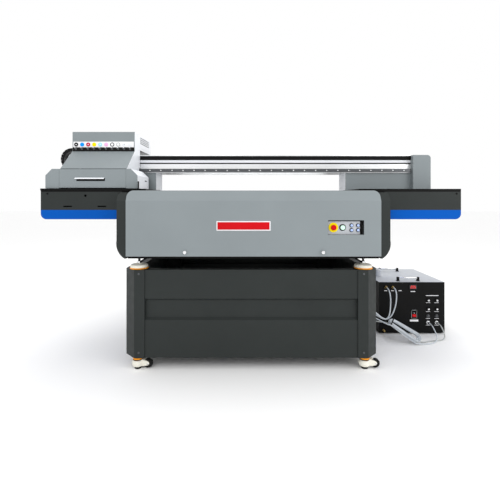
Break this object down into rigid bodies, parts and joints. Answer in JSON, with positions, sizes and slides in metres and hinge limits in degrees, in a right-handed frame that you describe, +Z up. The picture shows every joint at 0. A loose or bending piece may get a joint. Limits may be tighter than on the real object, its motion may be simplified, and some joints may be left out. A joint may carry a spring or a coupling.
{
  "type": "flatbed uv printer",
  "caption": "Flatbed UV printer: a bed on a cabinet stand, a gantry that travels over it with a print carriage, and a lamp supply box beside it.",
  "frame": {"origin": "middle of the footprint on the floor", "axes": "+X to the right along the gantry beam as seen from the control panel, +Y from the front cover to the rear, +Z up"},
  "size_m": [3.025, 1.6, 1.532],
  "materials": {
    "charcoal_paint": "satin",
    "grey_paint": "satin",
    "black_paint": "satin",
    "blue_paint": "satin",
    "white_paint": "satin",
    "light_grey_paint": "satin",
    "aluminium": "brushed",
    "steel": "polished",
    "chrome": "polished",
    "brass": "satin",
    "black_rubber": "matte",
    "ivory_plastic": "matte",
    "orange_rubber": "matte",
    "black_plastic": "matte",
    "red_plastic": "gloss",
    "yellow_plastic": "gloss",
    "green_plastic": "gloss",
    "blue_plastic": "gloss",
    "white_plastic": "gloss",
    "ink_cyan": "gloss",
    "ink_crimson": "gloss",
    "ink_pink": "gloss",
    "ink_pale": "gloss",
    "clear_tube": "satin",
    "grey_cable": "satin",
    "display_red": "gloss",
    "dark_glass": "gloss"
  },
  "bodies": {
    "machine": {"stand_posts": "charcoal_paint", "stand_panels": "charcoal_paint", "levelling_feet": "ivory_plastic", "base_frame": "black_paint", "vacuum_table": "aluminium", "front_cover": "grey_paint", "body_panels": "charcoal_paint", "control_panel": "aluminium", "box_case": "black_paint", "box_panel": "black_paint", "box_handles": "chrome", "box_fittings": "black_plastic", "water_tube_a": "clear_tube", "water_tube_b": "clear_tube", "lamp_cable_a": "clear_tube", "lamp_cable_b": "grey_cable", "cable_hank": "clear_tube"},
    "gantry": {"gantry_wings": "charcoal_paint", "wing_trays": "blue_paint", "gantry_legs": "grey_paint", "gantry_beam": "aluminium", "beam_rail": "steel", "end_caps": "grey_paint", "cable_tray": "black_paint", "capping_station": "black_plastic"},
    "carriage": {"carriage_plate": "steel", "drag_chain": "black_plastic"},
    "head": {"carriage_housing": "grey_paint", "lamp_housings": "grey_paint", "print_heads": "black_plastic"},
    "head_door": {"carriage_door": "grey_paint"},
    "swivel_front_left": {"caster_front_left": "ivory_plastic"},
    "wheel_front_left": {"caster_wheel_front_left": "black_rubber"},
    "swivel_front_right": {"caster_front_right": "ivory_plastic"},
    "wheel_front_right": {"caster_wheel_front_right": "black_rubber"},
    "swivel_rear_left": {"caster_rear_left": "ivory_plastic"},
    "wheel_rear_left": {"caster_wheel_rear_left": "black_rubber"},
    "swivel_rear_right": {"caster_rear_right": "ivory_plastic"},
    "wheel_rear_right": {"caster_wheel_rear_right": "black_rubber"},
    "emergency_stop_button": {"emergency_stop_button": "red_plastic"},
    "start_button": {"start_button": "green_plastic"},
    "light_button": {"light_button": "blue_plastic"},
    "vacuum_button": {"vacuum_button": "blue_plastic"},
    "lift_button": {"lift_button": "blue_plastic"},
    "home_button": {"home_button": "blue_plastic"},
    "ink_switch_1": {"ink_switch_1": "chrome"},
    "ink_switch_2": {"ink_switch_2": "chrome"},
    "ink_switch_3": {"ink_switch_3": "chrome"},
    "ink_switch_4": {"ink_switch_4": "chrome"},
    "ink_switch_5": {"ink_switch_5": "chrome"},
    "ink_switch_6": {"ink_switch_6": "chrome"},
    "ink_switch_7": {"ink_switch_7": "chrome"},
    "ink_switch_8": {"ink_switch_8": "chrome"},
    "ink_switch_9": {"ink_switch_9": "chrome"},
    "ink_switch_10": {"ink_switch_10": "chrome"},
    "box_knob_1": {"box_knob_1": "black_plastic"},
    "box_knob_2": {"box_knob_2": "black_plastic"},
    "box_knob_3": {"box_knob_3": "black_plastic"},
    "box_knob_4": {"box_knob_4": "black_plastic"},
    "box_rocker": {"box_rocker": "red_plastic"}
  },
  "joints": [
    {"name": "gantry_slide", "type": "slide", "parent": "machine", "child": "gantry", "axis": [0, 1, 0], "range_m": [0, 0.88]},
    {"name": "carriage_slide", "type": "slide", "parent": "gantry", "child": "carriage", "axis": [1, 0, 0], "range_m": [0, 1.87]},
    {"name": "head_lift", "type": "slide", "parent": "carriage", "child": "head", "axis": [0, 0, 1], "range_m": [0, 0.06]},
    {"name": "head_door_hinge", "type": "hinge", "parent": "head", "child": "head_door", "pos_m": [-0.0075, -0.661, 1.259], "axis": [-1, 0, 0], "range_deg": [0, 95]},
    {"name": "swivel_front_left", "type": "hinge", "parent": "machine", "child": "swivel_front_left", "pos_m": [-0.7355, -0.722, 0], "axis": [0, 0, 1], "continuous": true},
    {"name": "wheel_front_left", "type": "hinge", "parent": "swivel_front_left", "child": "wheel_front_left", "pos_m": [-0.6695, -0.722, 0.032], "axis": [0, 1, 0], "continuous": true},
    {"name": "swivel_front_right", "type": "hinge", "parent": "machine", "child": "swivel_front_right", "pos_m": [0.6945, -0.722, 0], "axis": [0, 0, 1], "continuous": true},
    {"name": "wheel_front_right", "type": "hinge", "parent": "swivel_front_right", "child": "wheel_front_right", "pos_m": [0.7605, -0.722, 0.032], "axis": [0, 1, 0], "continuous": true},
    {"name": "swivel_rear_left", "type": "hinge", "parent": "machine", "child": "swivel_rear_left", "pos_m": [-0.7355, 0.522, 0], "axis": [0, 0, 1], "continuous": true},
    {"name": "wheel_rear_left", "type": "hinge", "parent": "swivel_rear_left", "child": "wheel_rear_left", "pos_m": [-0.6695, 0.522, 0.032], "axis": [0, 1, 0], "continuous": true},
    {"name": "swivel_rear_right", "type": "hinge", "parent": "machine", "child": "swivel_rear_right", "pos_m": [0.6945, 0.522, 0], "axis": [0, 0, 1], "continuous": true},
    {"name": "wheel_rear_right", "type": "hinge", "parent": "swivel_rear_right", "child": "wheel_rear_right", "pos_m": [0.7605, 0.522, 0.032], "axis": [0, 1, 0], "continuous": true},
    {"name": "emergency_stop_button_press", "type": "slide", "parent": "machine", "child": "emergency_stop_button", "axis": [0, 1, 0], "range_m": [0, 0.006]},
    {"name": "start_button_press", "type": "slide", "parent": "machine", "child": "start_button", "axis": [0, 1, 0], "range_m": [0, 0.003], "stiffness_N_per_m": 400, "springref_m": -0.0005},
    {"name": "light_button_press", "type": "slide", "parent": "machine", "child": "light_button", "axis": [0, 1, 0], "range_m": [0, 0.002], "stiffness_N_per_m": 400, "springref_m": -0.0005},
    {"name": "vacuum_button_press", "type": "slide", "parent": "machine", "child": "vacuum_button", "axis": [0, 1, 0], "range_m": [0, 0.002], "stiffness_N_per_m": 400, "springref_m": -0.0005},
    {"name": "lift_button_press", "type": "slide", "parent": "machine", "child": "lift_button", "axis": [0, 1, 0], "range_m": [0, 0.002], "stiffness_N_per_m": 400, "springref_m": -0.0005},
    {"name": "home_button_press", "type": "slide", "parent": "machine", "child": "home_button", "axis": [0, 1, 0], "range_m": [0, 0.002], "stiffness_N_per_m": 400, "springref_m": -0.0005},
    {"name": "ink_switch_1_flip", "type": "hinge", "parent": "head", "child": "ink_switch_1", "pos_m": [-1.2345, -0.492, 1.4125], "axis": [1, 0, 0], "range_deg": [0, 28]},
    {"name": "ink_switch_2_flip", "type": "hinge", "parent": "head", "child": "ink_switch_2", "pos_m": [-1.1927, -0.492, 1.4125], "axis": [1, 0, 0], "range_deg": [0, 28]},
    {"name": "ink_switch_3_flip", "type": "hinge", "parent": "head", "child": "ink_switch_3", "pos_m": [-1.1509, -0.492, 1.4125], "axis": [1, 0, 0], "range_deg": [0, 28]},
    {"name": "ink_switch_4_flip", "type": "hinge", "parent": "head", "child": "ink_switch_4", "pos_m": [-1.1091, -0.492, 1.4125], "axis": [1, 0, 0], "range_deg": [0, 28]},
    {"name": "ink_switch_5_flip", "type": "hinge", "parent": "head", "child": "ink_switch_5", "pos_m": [-1.0673, -0.492, 1.4125], "axis": [1, 0, 0], "range_deg": [0, 28]},
    {"name": "ink_switch_6_flip", "type": "hinge", "parent": "head", "child": "ink_switch_6", "pos_m": [-1.0255, -0.492, 1.4125], "axis": [1, 0, 0], "range_deg": [0, 28]},
    {"name": "ink_switch_7_flip", "type": "hinge", "parent": "head", "child": "ink_switch_7", "pos_m": [-0.9837, -0.492, 1.4125], "axis": [1, 0, 0], "range_deg": [0, 28]},
    {"name": "ink_switch_8_flip", "type": "hinge", "parent": "head", "child": "ink_switch_8", "pos_m": [-0.9419, -0.492, 1.4125], "axis": [1, 0, 0], "range_deg": [0, 28]},
    {"name": "ink_switch_9_flip", "type": "hinge", "parent": "head", "child": "ink_switch_9", "pos_m": [-0.9001, -0.492, 1.4125], "axis": [1, 0, 0], "range_deg": [0, 28]},
    {"name": "ink_switch_10_flip", "type": "hinge", "parent": "head", "child": "ink_switch_10", "pos_m": [-0.8583, -0.492, 1.4125], "axis": [1, 0, 0], "range_deg": [0, 28]},
    {"name": "box_knob_1_turn", "type": "hinge", "parent": "machine", "child": "box_knob_1", "pos_m": [1.3815, -0.151, 0.268], "axis": [0, 1, 0], "range_deg": [0, 270]},
    {"name": "box_knob_2_turn", "type": "hinge", "parent": "machine", "child": "box_knob_2", "pos_m": [1.4485, -0.151, 0.268], "axis": [0, 1, 0], "range_deg": [0, 270]},
    {"name": "box_knob_3_turn", "type": "hinge", "parent": "machine", "child": "box_knob_3", "pos_m": [1.3815, -0.151, 0.199], "axis": [0, 1, 0], "range_deg": [0, 270]},
    {"name": "box_knob_4_turn", "type": "hinge", "parent": "machine", "child": "box_knob_4", "pos_m": [1.4485, -0.151, 0.199], "axis": [0, 1, 0], "range_deg": [0, 270]},
    {"name": "box_rocker_tip", "type": "hinge", "parent": "machine", "child": "box_rocker", "pos_m": [1.2705, -0.137, 0.157], "axis": [1, 0, 0], "range_deg": [0, 12]}
  ]
}
